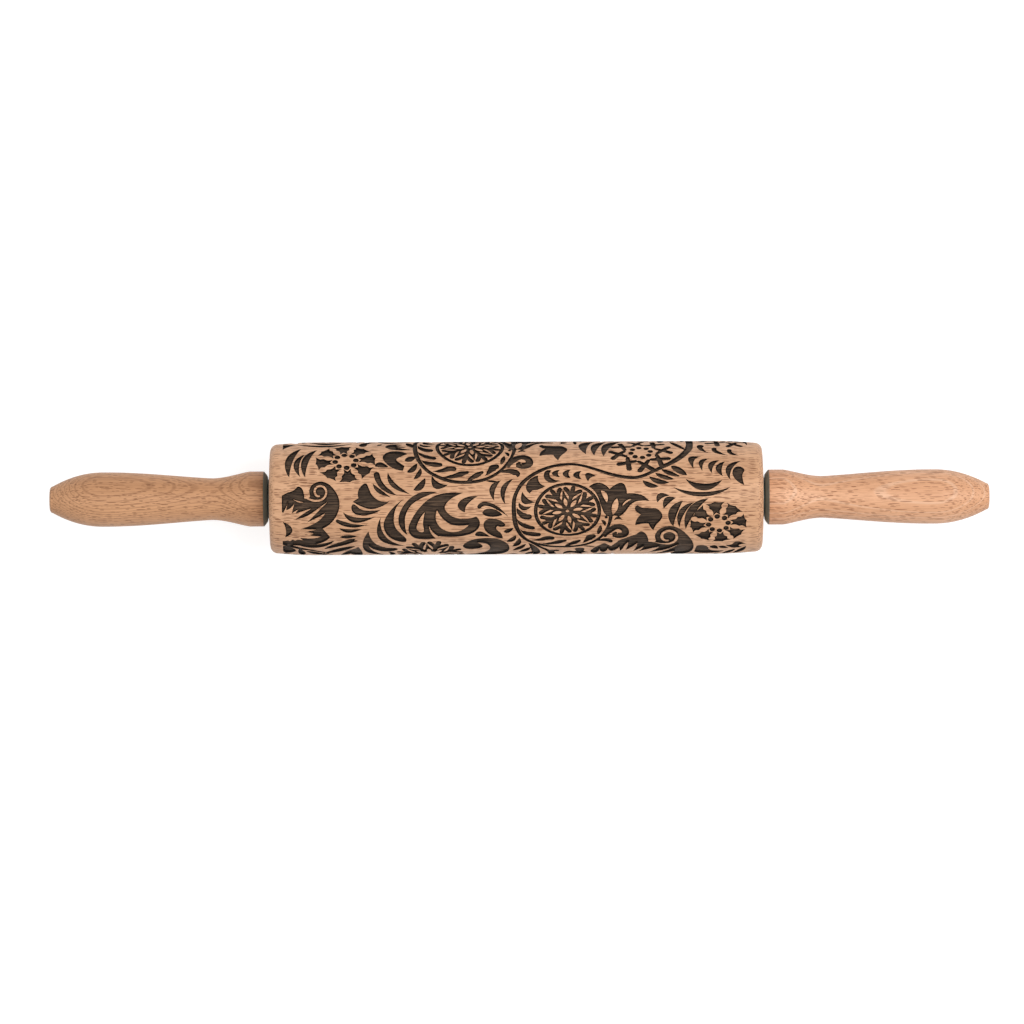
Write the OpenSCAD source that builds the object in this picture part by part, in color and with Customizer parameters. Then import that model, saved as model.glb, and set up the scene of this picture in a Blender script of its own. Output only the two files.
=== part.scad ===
// Rolling pin: an engraved wooden barrel that turns on a steel axle between two turned handles.
// The axle lies along X with the barrel's middle at the origin, and +Z is up. Millimetres.
// Every piece is turned round the axle, so each is drawn upright, round Z, and laid along X.

/* [Barrel] */
// Length of the barrel between its end faces
barrel_l = 225; // [200:1:260]
// Diameter of the barrel along its straight middle
barrel_d = 51.6; // [46:0.2:60]
// Diameter of the barrel where the rounded end edges begin
barrel_end_d = 49.9; // [44:0.1:49.9]
// Length over which the barrel tapers towards each end
barrel_taper_l = 20; // [12:1:30]
// Radius of the rounded end edges
barrel_edge_r = 3.4; // [1:0.2:5]
// Diameter of the hole along the barrel, between its bushes
barrel_hole_d = 13; // [10:0.5:15]

/* [Handles] */
// Length of the handle on the -X side
left_handle_l = 98; // [90:1:120]
// Length of the handle on the +X side
right_handle_l = 101; // [90:1:120]
// Diameter of a handle at its inner end
handle_base_d = 25.2; // [22:0.1:28]
// Diameter of the narrow neck
neck_d = 19.1; // [16:0.1:21]
// Largest diameter of the grip
swell_d = 24.9; // [22:0.1:28]
// Where the straight inner end stops, as a share of the handle's length
base_end = 0.066; // [0.03:0.001:0.1]
// Where the neck is narrowest, as a share of the handle's length
neck_at = 0.243; // [0.2:0.001:0.3]
// Where the grip is widest, as a share of the handle's length
swell_at = 0.737; // [0.65:0.001:0.8]
// Where the grip starts to narrow towards its tip, as a share of the handle's length
tip_at = 0.755; // [0.74:0.001:0.8]
// Diameter of the handle's tip, before its rounded edge
tip_d = 12.2; // [10:0.1:16]
// Diameter of the flat end inside the rounded edge
tip_flat_d = 8.4; // [6:0.1:10]
// Length of the tip's rounded edge, along the axle
tip_edge_l = 1.3; // [0.8:0.1:2]

/* [Collars, bushes and washers] */
// Visible thickness of a collar, along the axle
collar_t = 1.8; // [1.4:0.1:3]
// Diameter of a collar's face towards the barrel
collar_face_d = 21; // [20.6:0.1:23]
// Diameter of the collar's spigot, which sits in the handle
spigot_d = 14; // [12:0.5:16]
// Length of the collar's spigot
spigot_l = 10; // [6:1:14]
// Outer diameter of a bush's sleeve, which is pressed into the barrel
bush_d = 16; // [15.5:0.5:18]
// Length of a bush's sleeve
bush_l = 20; // [12:1:30]
// Diameter of a bush's flange, which lies on the barrel's end face
flange_d = 20.5; // [19:0.1:22]
// Thickness of a bush's flange
flange_t = 0.7; // [0.5:0.1:1]
// Diameter of a thrust washer
washer_d = 18; // [14:0.5:19]
// Thickness of a thrust washer
washer_t = 0.4; // [0.3:0.1:0.8]

/* [Axle] */
// Diameter of the axle
axle_d = 8; // [6:0.5:9]
// How deep each end of the axle sits in its handle
axle_grip_l = 44; // [30:1:60]
// Length of the splined stretch at each end
spline_l = 30; // [15:1:36]
// How far the splines stand proud of the axle, to bite into the wood
spline_h = 0.15; // [0.05:0.05:0.3]
// Number of splines round the axle
spline_count = 24; // [12:1:36]
// Chamfer on the axle's ends
axle_chamfer = 0.6; // [0.2:0.1:1]

/* [Hidden] */
$fn = 96;

// Clearances: between faces that turn or end a hole, round the axle, and past the axle's ends
end_gap = 0.1;
running_gap = 0.05;
hole_spare_l = 2;

// Places along the axle, counted from the barrel's middle
face_x = barrel_l / 2;
washer_x = face_x + flange_t + end_gap;
collar_x = washer_x + washer_t;
handle_x = collar_x + collar_t;
axle_end_x = handle_x + axle_grip_l;

// Number of steps in a curved stretch of outline
curve_steps = 16;
// Power that makes a handle's curves leave their straight or narrow stretch gently
curve_power = 1.2;

beech = "#dcae88";
beech_light = "#e2b892";
dark_plastic = "#50554e";
green_plastic = "#5d6f64";
black_steel = "#26332f";
steel = "#b4b8bb";

// A quarter wave from 0 to 1 that starts gently, for t from 0 to 1
function ease(t) = sin(90 * pow(t, curve_power));

// Lays a piece that is drawn round +Z along the axle: side is 1 for +X and -1 for -X
module on_axle(side = 1) {
  mirror([side < 0 ? 1 : 0, 0, 0]) rotate([0, 90, 0]) children();
}

// A plain tube round Z from z0 to z1
module tube(outer_d, inner_d, z0, z1) {
  translate([0, 0, z0]) difference() {
    cylinder(d = outer_d, h = z1 - z0);
    translate([0, 0, -1]) cylinder(d = inner_d, h = z1 - z0 + 2);
  }
}

// Half of the barrel's outline, from its middle to the end face, as [radius, place]
function barrel_half() = let (
    end_r = barrel_end_d / 2,
    rise = (barrel_d - barrel_end_d) / 2,
    taper_run = barrel_taper_l - barrel_edge_r
  ) concat(
    [for (i = [curve_steps : -1 : 1])
      let (t = i / curve_steps)
      [end_r + rise * sin(90 * t), face_x - barrel_edge_r - t * taper_run]],
    [for (i = [0 : curve_steps])
      let (a = 90 * i / curve_steps)
      [end_r - barrel_edge_r * (1 - cos(a)), face_x - barrel_edge_r * (1 - sin(a))]]
  );

module barrel() {
  half = barrel_half();
  other_half = [for (i = [len(half) - 1 : -1 : 0]) [half[i][0], -half[i][1]]];
  color(beech) on_axle() difference() {
    rotate_extrude() polygon(concat([[0, -face_x]], other_half, half, [[0, face_x]]));
    cylinder(d = barrel_hole_d, h = barrel_l + 2, center = true);
    for (flip = [0, 1]) mirror([0, 0, flip])
      translate([0, 0, face_x - bush_l]) cylinder(d = bush_d, h = bush_l + 1);
  }
}

// A handle's outline from its inner end to its tip, as [radius, distance from the inner end]
function handle_outline(l) = let (
    base_l = base_end * l,
    neck_l = neck_at * l,
    swell_l = swell_at * l,
    tip_l = tip_at * l,
    edge_l = l - tip_edge_l
  ) concat(
    [[handle_base_d / 2, 0]],
    [for (i = [0 : curve_steps])
      let (t = i / curve_steps)
      [(handle_base_d - (handle_base_d - neck_d) * ease(t)) / 2, base_l + t * (neck_l - base_l)]],
    [for (i = [1 : curve_steps])
      let (t = i / curve_steps)
      [(neck_d + (swell_d - neck_d) * ease(t)) / 2, neck_l + t * (swell_l - neck_l)]],
    [for (i = [0 : curve_steps])
      let (t = i / curve_steps)
      [(swell_d - (swell_d - tip_d) * t * t) / 2, tip_l + t * (edge_l - tip_l)]],
    [for (i = [1 : curve_steps])
      let (a = 90 * i / curve_steps)
      [(tip_flat_d + (tip_d - tip_flat_d) * cos(a)) / 2, edge_l + tip_edge_l * sin(a)]]
  );

module handle(side, l) {
  color(beech_light) on_axle(side) translate([0, 0, handle_x]) difference() {
    rotate_extrude() polygon(concat([[0, 0]], handle_outline(l), [[0, l]]));
    translate([0, 0, -1]) cylinder(d = axle_d, h = axle_grip_l + hole_spare_l + 1);
    translate([0, 0, -1]) cylinder(d = spigot_d, h = spigot_l + end_gap + 1);
  }
}

// Flanged bush, pressed into the barrel's end
module bush(side) {
  bore_d = axle_d + 2 * running_gap;
  color(green_plastic) on_axle(side) union() {
    tube(bush_d, bore_d, face_x - bush_l, face_x);
    tube(flange_d, bore_d, face_x, face_x + flange_t);
  }
}

module thrust_washer(side) {
  color(black_steel) on_axle(side)
    tube(washer_d, axle_d + 4 * running_gap, washer_x, washer_x + washer_t);
}

// Tapered collar with a spigot that centres it in the handle
module collar(side) {
  color(dark_plastic) on_axle(side) difference() {
    union() {
      translate([0, 0, collar_x])
        cylinder(d1 = collar_face_d, d2 = handle_base_d, h = collar_t);
      translate([0, 0, handle_x]) cylinder(d = spigot_d, h = spigot_l);
    }
    translate([0, 0, collar_x - 1])
      cylinder(d = axle_d + 2 * running_gap, h = collar_t + spigot_l + 2);
  }
}

// Ring of splines round the axle's end, as one toothed bar
module spline() {
  tooth = 180 / spline_count;
  r = axle_d / 2;
  linear_extrude(spline_l) polygon([
    for (i = [0 : 2 * spline_count - 1])
      let (tip = i % 2, radius = r + (tip * 2 - 1) * spline_h)
      [radius * cos(i * tooth), radius * sin(i * tooth)]
  ]);
}

module axle() {
  color(steel) on_axle() union() {
    cylinder(d = axle_d, h = 2 * (axle_end_x - axle_chamfer), center = true);
    for (flip = [0, 1]) mirror([0, 0, flip]) {
      translate([0, 0, axle_end_x - axle_chamfer])
        cylinder(d1 = axle_d, d2 = axle_d - 2 * axle_chamfer, h = axle_chamfer);
      translate([0, 0, axle_end_x - axle_chamfer - spline_l]) spline();
    }
  }
}

module bush_left() bush(-1);
module bush_right() bush(1);
module thrust_washer_left() thrust_washer(-1);
module thrust_washer_right() thrust_washer(1);
module collar_left() collar(-1);
module collar_right() collar(1);
module handle_left() handle(-1, left_handle_l);
module handle_right() handle(1, right_handle_l);

barrel();
axle();
bush_left();
bush_right();
thrust_washer_left();
thrust_washer_right();
collar_left();
collar_right();
handle_left();
handle_right();
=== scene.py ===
import math

import bmesh
import bpy
import numpy as np
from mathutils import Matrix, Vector
from mathutils.geometry import delaunay_2d_cdt


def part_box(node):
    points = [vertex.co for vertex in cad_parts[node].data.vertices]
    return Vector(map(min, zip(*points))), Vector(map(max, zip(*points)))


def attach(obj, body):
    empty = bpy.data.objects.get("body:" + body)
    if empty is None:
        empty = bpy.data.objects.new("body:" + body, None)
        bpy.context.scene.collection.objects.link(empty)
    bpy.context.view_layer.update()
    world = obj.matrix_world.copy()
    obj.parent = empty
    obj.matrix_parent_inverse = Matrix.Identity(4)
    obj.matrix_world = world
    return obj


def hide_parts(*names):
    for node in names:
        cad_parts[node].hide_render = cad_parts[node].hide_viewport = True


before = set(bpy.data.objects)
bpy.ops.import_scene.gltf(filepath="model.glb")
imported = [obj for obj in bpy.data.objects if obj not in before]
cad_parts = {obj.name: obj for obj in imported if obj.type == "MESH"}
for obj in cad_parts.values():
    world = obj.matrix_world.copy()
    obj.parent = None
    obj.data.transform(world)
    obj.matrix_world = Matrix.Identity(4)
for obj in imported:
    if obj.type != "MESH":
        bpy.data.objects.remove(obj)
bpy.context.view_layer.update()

MM = 0.001
scene = bpy.context.scene

# Sizes of the turned parts, as in the CAD model.
BARREL_R = 25.8
END_R = 24.95
FACE_X = 112.5
EDGE_R = 3.4
TAPER_L = 20.0
HOLE_R = 6.5
BORE_R = 8.0
BORE_L = 20.0
FLANGE_R = 10.25
FLANGE_T = 0.7
AXLE_R = 4.0
WASHER_R = 9.0
WASHER_T = 0.4
WASHER_X = 113.3
COLLAR_X = 113.7
COLLAR_T = 1.8
COLLAR_FACE_R = 10.5
SPIGOT_R = 7.0
SPIGOT_L = 10.0
HANDLE_X = 115.5
HANDLE_BASE_R = 12.6
NECK_R = 9.55
SWELL_R = 12.45
TIP_R = 6.1
TIP_FLAT_R = 4.2
TIP_EDGE_L = 1.3
GRIP_L = 46.0
AXLE_GAP = 0.05

# Where a handle's straight inner end ends, its neck, the end of its swell and the start
# of its taper lie, as shares of its length.
BASE_AT = 0.066
NECK_AT = 0.243
SWELL_AT = 0.737
TAPER_AT = 0.755

# The engraving: its depth, how far the foot of a wall stands in, and the stretch of the
# barrel that it covers. Outlines may run past that stretch by OVERRUN and are cut there.
ENGRAVED_DEPTH = 1.0
WALL_LEAN = 0.48
FIELD = (-106.5, 105.5)
OVERRUN = 0.8
GIRTH = 2 * math.pi * BARREL_R
# The ornament is drawn slightly too long, and this share of its length is used.
SPREAD = 0.994

# Meshes: steps round a turned piece, the grid along the barrel's sheet in mm, and the
# angles from which an edge is sharp on a turned piece and on the barrel.
ROUND_STEPS = 128
GRID = 2.2
SHARP_ANGLE = math.radians(25)
WALL_ANGLE = math.radians(30)


# ---------------------------------------------------------------------------
# Ornament: flat shapes on the unrolled barrel, in millimetres. x runs along the
# barrel from its middle and y runs round it from its top line. A drawing is a
# list of (is_cut, outline): is_cut is True for engraved wood and False for wood
# that is left standing inside an earlier shape. Later shapes lie over earlier ones.
# ---------------------------------------------------------------------------
CURVE_STEP = 0.7


def smooth(points, closed=False):
    """A curve through the points. A point with a third value is a corner."""
    n = len(points)
    out = []
    for i in range(n if closed else n - 1):
        a, b = points[i], points[(i + 1) % n]
        free_a = len(a) > 2 or (not closed and i == 0)
        free_b = len(b) > 2 or (not closed and i == n - 2)
        before = a if free_a else points[i - 1]
        after = b if free_b else points[(i + 2) % n]
        chord = (b[0] - a[0], b[1] - a[1])
        size = math.hypot(*chord) or 1.0
        lean_a = direction(before, b, size)
        lean_b = direction(a, after, size)
        if free_a and not free_b:
            lean_a = mirrored(lean_b, chord)
        if free_b and not free_a:
            lean_b = mirrored(lean_a, chord)
        steps = max(2, round(size / CURVE_STEP))
        for k in range(steps):
            t = k / steps
            wa, wb = (1 + 2 * t) * (1 - t) ** 2, t * t * (3 - 2 * t)
            ka, kb = t * (1 - t) ** 2, t * t * (t - 1)
            out.append(tuple(wa * a[j] + wb * b[j] + ka * lean_a[j] + kb * lean_b[j] for j in (0, 1)))
    if not closed:
        out.append(tuple(points[-1][:2]))
    return out


def direction(start, end, size):
    """A vector of the given size from start towards end."""
    dx, dy = end[0] - start[0], end[1] - start[1]
    length = math.hypot(dx, dy) or 1.0
    return (dx / length * size, dy / length * size)


def mirrored(lean, chord):
    """The slope that a free end takes, so that its span bends evenly."""
    size = chord[0] ** 2 + chord[1] ** 2
    along = 2 * (lean[0] * chord[0] + lean[1] * chord[1]) / size
    return (along * chord[0] - lean[0], along * chord[1] - lean[1])


def band(points, widths):
    """A line of changing width along a smooth curve, with round ends."""
    path = smooth(points)
    if not isinstance(widths, (list, tuple)):
        widths = [widths] * len(points)
    spans = []
    for a, b in zip(points, points[1:]):
        spans.append(max(2, round(math.hypot(b[0] - a[0], b[1] - a[1]) / CURVE_STEP)))
    half = []
    for w0, w1, steps in zip(widths, widths[1:], spans):
        for k in range(steps):
            t = k / steps
            half.append((w0 + (w1 - w0) * t * t * (3 - 2 * t)) / 2)
    half.append(widths[-1] / 2)
    left, right = [], []
    for i, (x, y) in enumerate(path):
        x0, y0 = path[max(i - 1, 0)]
        x1, y1 = path[min(i + 1, len(path) - 1)]
        nx, ny = direction((y1, x0), (y0, x1), 1.0)
        left.append((x + nx * half[i], y + ny * half[i]))
        right.append((x - nx * half[i], y - ny * half[i]))
    return left + cap(left[-1], right[-1]) + right[::-1] + cap(right[0], left[0])


def cap(start, end):
    """The points of a half circle from start round to end, without its ends."""
    cx, cy = (start[0] + end[0]) / 2, (start[1] + end[1]) / 2
    dx, dy = start[0] - cx, start[1] - cy
    steps = round(math.pi * math.hypot(dx, dy) / CURVE_STEP)
    out = []
    for k in range(1, steps):
        a = -math.pi * k / steps
        c, s = math.cos(a), math.sin(a)
        out.append((cx + dx * c - dy * s, cy + dx * s + dy * c))
    return out


def leaf(a, b, bow, inner, lean=0.5):
    """A leaf or crescent between tips a and b. Its sides bow to the left of the way
    from a to b, by bow and inner, and furthest at the share lean of that way."""
    dx, dy = b[0] - a[0], b[1] - a[1]
    size = math.hypot(dx, dy)
    nx, ny = -dy / size, dx / size
    steps = max(4, round(size / CURVE_STEP))
    power = math.log(0.5) / math.log(lean)
    out = []
    for side, order in ((bow, range(steps)), (inner, range(steps, 0, -1))):
        for k in order:
            t = k / steps
            w = t ** power
            off = side * (4 * w * (1 - w)) ** 0.85
            out.append((a[0] + dx * t + nx * off, a[1] + dy * t + ny * off))
    return out


def leaves(*rows):
    """A leaf for each row: x and y of both tips, then bow, inner and perhaps lean."""
    return [leaf(row[:2], row[2:4], *row[4:]) for row in rows]


def oval(x, y, rx, ry, first=0.0):
    steps = max(8, round(math.pi * (rx + ry) / CURVE_STEP))
    turn = [math.radians(first) + 2 * math.pi * k / steps for k in range(steps)]
    return [(x + rx * math.cos(a), y + ry * math.sin(a)) for a in turn]


def blob(*points):
    return smooth(points, closed=True)


def notched(x, y, w, h):
    """A fat crescent that opens to the right, from its round side at (x, y)."""
    return blob(
        (x + w, y + h / 2, 1), (x + 0.4 * w, y + 0.42 * h), (x, y), (x + 0.4 * w, y - 0.42 * h),
        (x + w, y - h / 2, 1), (x + 0.72 * w, y))


def cut(*outlines):
    return [(True, o) for o in outlines]


def keep(*outlines):
    return [(False, o) for o in outlines]


def moved(drawing, origin=(0, 0), to=(0, 0), scale=1.0, angle=0.0):
    """A copy of a drawing with its origin taken to a new place, turned and scaled."""
    c, s = math.cos(math.radians(angle)) * scale, math.sin(math.radians(angle)) * scale
    out = []
    for is_cut, outline in drawing:
        moved_outline = []
        for x, y in outline:
            x, y = x - origin[0], y - origin[1]
            moved_outline.append((to[0] + x * c - y * s, to[1] + x * s + y * c))
        out.append((is_cut, moved_outline))
    return out


def loose(drawing):
    """A group in which each shape of the drawing stands alone."""
    return [[shape] for shape in drawing]


def placed(group, *args, **kwargs):
    """A copy of a group, moved as moved() does."""
    return [moved(unit, *args, **kwargs) for unit in group]


def squeezed(drawing, sx, sy):
    return [(is_cut, [(x * sx, y * sy) for x, y in o]) for is_cut, o in drawing]


def snowflake():
    """Eight forked arms with a thorn between each two, 12 mm in radius."""
    out = []
    thorn = cut(blob(
        (1.2, 0, 1), (3, 1.25), (4.8, 1.65), (7.2, 0.95), (11.2, 0, 1), (7.2, -0.95), (4.8, -1.65),
        (3, -1.25)))
    thorn += keep(leaf((2.4, 0), (6.6, 0), 0.8, -0.8))
    arm = cut(
        band([(1.5, 0), (5, 0), (8.4, 0), (12, 0)], [1.3, 1.6, 2, 1.9]),
        band([(7, 0), (9.2, 1.4), (10.8, 3.2)], [1.4, 1.8, 2]),
        band([(7, 0), (9.2, -1.4), (10.8, -3.2)], [1.4, 1.8, 2]))
    for k in range(8):
        out += moved(thorn, angle=55.5 + 45 * k)
        out += moved(arm, angle=33 + 45 * k)
    out += cut(oval(0, 0, 1.9, 1.9))
    out += keep(oval(0, 0, 0.75, 0.7))
    return out


def floret():
    """A tulip with horned corners, its origin in its middle, pointing along +x."""
    return cut(blob(
        (4.4, 0.4, 1), (3.6, 1.9), (3.4, 5, 1), (1.9, 3.1), (0.5, 3.3), (-1, 1.9), (-4, 1.9, 1),
        (-2.3, 0.1, 1), (-4.1, -1.7, 1), (-1.2, -1.7), (0.4, -3), (1.7, -2.8), (3.7, -4.9, 1),
        (3.8, -1.6)))


def cross_floret():
    """Two crossed bars, its origin at the crossing, pointing along +x."""
    return cut(
        band([(-2.7, -2.3), (0.2, 0), (3.7, 3)], [2, 2.5, 2.7]),
        band([(-2.7, 2.3), (0.2, 0), (3.7, -3)], [2, 2.5, 2.7]))


def rosette(petal, first, petal_place):
    """A ring of eight seeds with eight petals round it, the first at the angle first."""
    out = []
    for k in range(8):
        a = first + 45 * k
        c, s = math.cos(math.radians(a)), math.sin(math.radians(a))
        out += moved(petal, to=(petal_place * c, petal_place * s), scale=0.94, angle=a)
        out += cut(oval(4.5 * c, 4.5 * s, 1.3, 1.45))
    return squeezed(out + keep(oval(0, 0, 2.4, 2.4)), 1, 0.81)


def floret_rosette():
    return rosette(floret(), 7, 9)


def cross_rosette():
    return rosette(cross_floret(), 10, 9.9)


# The middle of the right-hand medallion on the barrel's front.
MEDALLION = (23.4, -6.1)


def medallion():
    """The medallion in its rings, with the wavy stem, flowers and drops round it."""
    flake = moved(squeezed(snowflake(), 1.08, 0.91), to=MEDALLION)
    rings = cut(oval(*MEDALLION, 15.4, 13)) + keep(oval(*MEDALLION, 13.7, 11.7))
    outer = cut(band(
        [
            (43.2, -8.5), (42.4, -12.5), (40.8, -16.4), (38.2, -20.2), (34.4, -23.5), (29.5, -25.8),
            (24, -26.8), (18, -26.8), (13, -25.8), (8.7, -24), (4.6, -21.3), (1.6, -17.4), (-0.4, -12.3),
            (-1.1, -6), (-0.9, -0.5), (0.5, 3.2), (2.4, 6.3), (5.9, 9.6), (10, 12.3), (15.2, 14.7),
            (20, 15.9), (25, 16.3), (30, 15.6), (36, 13.6), (42, 11.3), (48, 9.8), (54, 9.2), (58, 10.1),
            (62, 12), (66, 14.1), (70, 16.4), (74, 19.3), (77.3, 23), (79.2, 27), (79.6, 32), (79.4, 37)],
        [
            1.8, 1.4, 1.4, 1.4, 1.4, 1.5, 1.5, 1.5, 1.6, 1.6, 1.6, 1.8, 2.1, 2, 1.8, 1.6, 1.8, 1.7, 1.7,
            1.6, 1.5, 1.4, 1.4, 1.5, 1.6, 1.6, 1.6, 1.6, 1.6, 1.8, 2.2, 2.7, 3.1, 3.4, 3.2, 3.6]))
    outer += cut(leaf((78.6, 24.5), (70.6, 35.4), 1.8, -0.6, 0.6))
    drops = cut(
        blob(
            (10.1, 10.5, 1), (6.4, 8.6), (4.5, 5.6), (4.8, 3.4), (6.3, 1.9, 1), (7.4, 3.3), (9.6, 3.6),
            (13.5, 5.4, 1), (11.2, 6.4), (10.1, 8.3)),
        blob((2.8, 2.8, 1), (2.2, 0.2), (2.6, -2), (4.4, -2.9), (8.7, -1.8, 1), (5.6, -0.6)),
        blob((1.2, -2, 1), (1.3, -4.4), (3.6, -5.8), (7, -3.8, 1), (3.9, -3.9)),
        band([(0.2, -4.3), (1.4, -6.8), (3.6, -8.5), (5.9, -8.8)], [0.2, 2.2, 2.9, 2.5]),
        band([(0.3, -9.8), (1.8, -12), (4.6, -13.6), (7.6, -14.4)], [0.2, 1.7, 2.2, 1.9]),
        band([(1.8, -15.3), (4.2, -17.2), (7.4, -17.9), (10.2, -18.2)], [0.2, 2, 2.6, 2.2]),
        band([(6.9, -21.6), (10.4, -21.4), (13.8, -20.4), (16.4, -20.4)], [0.2, 1.7, 2.6, 2.3]),
        band([(11.4, -24.4), (15.4, -24.2), (19.4, -23), (22.4, -22.2)], [0.2, 1.9, 2.6, 1.5]),
        band([(21.6, -27), (24, -25.1), (26.8, -23.4), (28.9, -22.2)], [0.2, 1.9, 2.5, 1.5]),
        band([(30.3, -23.9), (32, -22), (33.6, -20.1), (35.2, -19.3)], [0.2, 2, 3.6, 2.6]),
        *leaves(
            (37.2, -18.3, 38.7, -13, -1.2, 0.9), (40.6, -13.6, 38.8, -10.4, -1.4, 0.2),
            (40.2, -9, 41.9, -9.3, 1, -0.6)))
    row = cut(
        blob(
            (16.2, 12.9, 1), (13.6, 12.8), (12.6, 10.4), (13.7, 7.9), (16.6, 6.9), (20, 8, 1),
            (17.2, 8.5), (15.3, 10.4)),
        notched(16.3, 11.4, 3.8, 3.4),
        notched(21.2, 11.2, 3.8, 4),
        notched(26, 10.6, 4, 3.9),
        blob((31.5, 10.8), (32.6, 11.7), (34.2, 11.4), (36.4, 9.9, 1), (34, 9.2), (32.9, 7.4, 1)))
    tulip = cut(blob(
        (42.6, -8.9), (40.4, -7.4), (38.6, -3.4), (37.4, 0.2), (35.4, 3.4), (33.2, 4.9, 1), (36.2, 6.7),
        (39.4, 6.5), (42.7, 3.9, 1), (45.2, 5.8), (47.8, 6.8), (49.6, 5.8), (50.6, 1.8, 1), (54.4, 1.8),
        (57.8, 0.9), (60.8, -1.6, 1), (57.6, -1.4), (54.3, -2), (51.8, -3.8), (49.8, -6.6),
        (47, -8.9, 1), (44.6, -8.4)))
    tulip += keep(
        *leaves(
            (41.4, -2.2, 38.6, 3.4, -1.7, 0.3), (44.2, -7.8, 46.1, -0.4, 1.4, -1.4),
            (48.4, -4, 52.6, -0.8, 0.9, 0.1)))
    scroll = cut(
        band(
            [
                (40.6, -19.3), (42.8, -15.8), (46.2, -13.9), (49.2, -15), (49.8, -17.8), (47.4, -18.9),
                (45.2, -18.4), (45.4, -17.4)],
            [1.4, 3, 2.8, 3.2, 3.4, 3.4, 3.2, 1.6]),
        blob(
            (36, -22.3, 1), (39.1, -20.9), (41.5, -20.5), (43.7, -21.6), (44.2, -23.2), (43, -23.7),
            (41.2, -22.8), (38.8, -22.5)),
        *leaves(
            (48.5, -10.4, 44.6, -10.8, -1.9, -0.6), (30.6, -26.3, 36.2, -26.8, 0.5, -0.5)))
    bell = cut(blob(
        (55.4, -3.5, 1), (57.4, -4.6), (61, -4.9), (64.4, -5.2), (66.8, -8.1), (66, -10.6),
        (64, -13), (62.7, -15.9, 1), (61.2, -14), (60.5, -12.4, 1), (57.8, -12.4), (54.4, -13.2, 1),
        (54.9, -10.6), (56.9, -7.8, 1), (55, -6.6), (54.2, -4.9)))
    return [rings + flake, outer, tulip, bell] + loose(drops + row + scroll)


# The middle of the spiral in the feathered leaf at the left of the barrel's front.
SPIRAL = (-89.5, 3.3)


def feather(pointed=False):
    """That leaf. Its lowest lobe ends past the field's edge, or in a point."""
    lobe = [(-104.6, -24.4, 1)] if pointed else [(-107.8, -25.4, 1), (-107.8, -22.8, 1), (-104.6, -21.7, 1)]
    body = cut(blob(
        (-96.9, 0.2, 1), (-94.4, 0.6), (-94.6, 3.6), (-93.2, 6.4), (-89.6, 7.9), (-86, 6.8),
        (-83, 3.8), (-81.2, 0.4), (-80.8, -3.6), (-82.2, -8), (-85.2, -12), (-88.6, -14.4, 1),
        (-86.8, -16.8), (-85.3, -19.3, 1), (-88, -22.3), (-92, -24.3), (-96.4, -25.3),
        (-100.4, -25.4), *lobe, (-103.8, -22.3, 1), (-102.4, -21, 1), (-101.4, -21.7, 1),
        (-100, -20.9, 1), (-97.6, -21.4, 1), (-99.3, -19.7, 1), (-95, -20.1), (-91, -19.6),
        (-89.6, -18.9, 1), (-92.8, -18.6), (-96.6, -18.7, 1), (-93, -18, 1), (-96.8, -17.7, 1),
        (-93, -16.9), (-98.9, -16.9, 1), (-94.4, -15.7), (-91.4, -14.9, 1), (-98.9, -14.7, 1),
        (-94.4, -12.8), (-90, -10), (-87.4, -6.7, 1), (-90.6, -8.6), (-95.7, -11.2, 1), (-91.6, -6.9),
        (-86.1, -1.3, 1), (-90.6, -4.6), (-95.6, -8), (-101, -9.7, 1), (-97.4, -7),
        (-93.4, -4.4, 1), (-97, -5.6), (-101, -6.9, 1), (-99.6, -4.8, 1), (-102.6, -6.8, 1),
        (-101.4, -2, 1), (-103, -4.2), (-105.2, -5.4, 1), (-104.3, -1, 1), (-105.2, -4),
        (-106.7, -6.8, 1), (-107.8, -4), (-107.8, 1, 1), (-105, 2.6), (-101.7, 3.9), (-99.6, 5.6),
        (-97.9, 4.6), (-97, 2.2)))
    spiral = keep(band(
        [
            (-96.6, 0.6), (-94.2, -0.4), (-91.6, -1), (-88.6, -0.3), (-86.9, 2), (-87.3, 4.6),
            (-89.4, 5.8), (-91.6, 4.8), (-92.1, 2.8), (-91.2, 1.3), (-89.9, 1.1)],
        [0.3, 0.9, 0.9, 0.9, 0.9, 0.9, 0.9, 0.9, 1, 0.9, 0.7]))
    slits = keep(band([(-102, -0.3), (-99.4, -1.4), (-97.4, -1.6)], [0.1, 0.5, 0.2]))
    return body + spiral + slits


def crescents():
    """Three long crescents in a row."""
    return cut(*leaves(
        (-103.7, 10, -98.3, 28, 4.6, 1.1), (-98.7, 10.2, -96.4, 23.2, 4.3, 1.6),
        (-96.4, 9.8, -91, 26.6, 4.5, 1.2)))


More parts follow.
